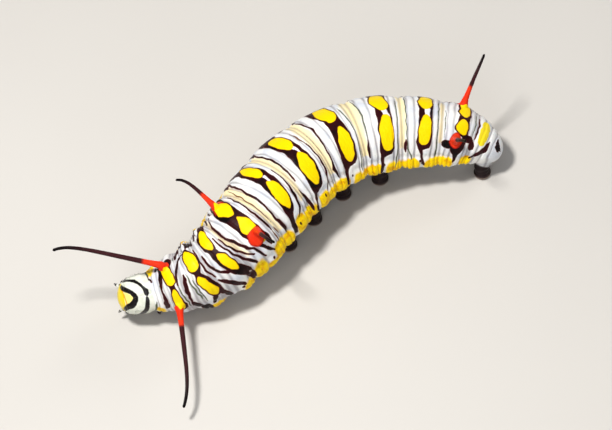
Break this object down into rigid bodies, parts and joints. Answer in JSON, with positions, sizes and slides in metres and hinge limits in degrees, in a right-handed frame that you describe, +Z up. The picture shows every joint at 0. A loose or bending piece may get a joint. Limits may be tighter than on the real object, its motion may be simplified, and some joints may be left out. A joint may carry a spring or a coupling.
{
  "type": "plain tiger butterfly larva",
  "caption": "Life-size still model of a banded milkweed butterfly larva, bent on flat feet, with long dark tentacles, spotted back and small round head.",
  "frame": {"origin": "on the floor, under the middle of the model's box", "axes": "+Z up, +X towards the tail, the head at -X, the larva's left flank towards -Y"},
  "size_m": [0.039, 0.0272, 0.0102],
  "materials": {
    "skin": "soft satin skin, white with dark bands and yellow spots",
    "proleg_skin": "soft satin, brown-black",
    "leg_shell": "hard glossy black shell with pale joints",
    "tentacle_skin": "satin, red at the root and brown-black to the tip",
    "head_shell": "hard glossy shell with black and white arcs",
    "mouth_shell": "hard glossy, yellow and black"
  },
  "bodies": {
    "root": {"head": "head_shell", "mouthparts": "mouth_shell", "antenna_left": "mouth_shell", "antenna_right": "mouth_shell", "thorax_1": "skin", "thorax_2": "skin", "thorax_3": "skin", "abdomen_1": "skin", "abdomen_2": "skin", "abdomen_3": "skin", "abdomen_4": "skin", "abdomen_5": "skin", "abdomen_6": "skin", "abdomen_7": "skin", "abdomen_8": "skin", "abdomen_9": "skin", "abdomen_10": "skin", "leg_1_left": "leg_shell", "leg_1_right": "leg_shell", "leg_2_left": "leg_shell", "leg_2_right": "leg_shell", "leg_3_left": "leg_shell", "leg_3_right": "leg_shell", "proleg_3_left": "proleg_skin", "proleg_3_right": "proleg_skin", "proleg_4_left": "proleg_skin", "proleg_4_right": "proleg_skin", "proleg_5_left": "proleg_skin", "proleg_5_right": "proleg_skin", "proleg_6_left": "proleg_skin", "proleg_6_right": "proleg_skin", "proleg_anal_left": "proleg_skin", "proleg_anal_right": "proleg_skin", "tentacle_thorax_left": "tentacle_skin", "tentacle_thorax_right": "tentacle_skin", "tentacle_front_left": "tentacle_skin", "tentacle_front_right": "tentacle_skin", "tentacle_rear_left": "tentacle_skin", "tentacle_rear_right": "tentacle_skin"}
  },
  "joints": []
}
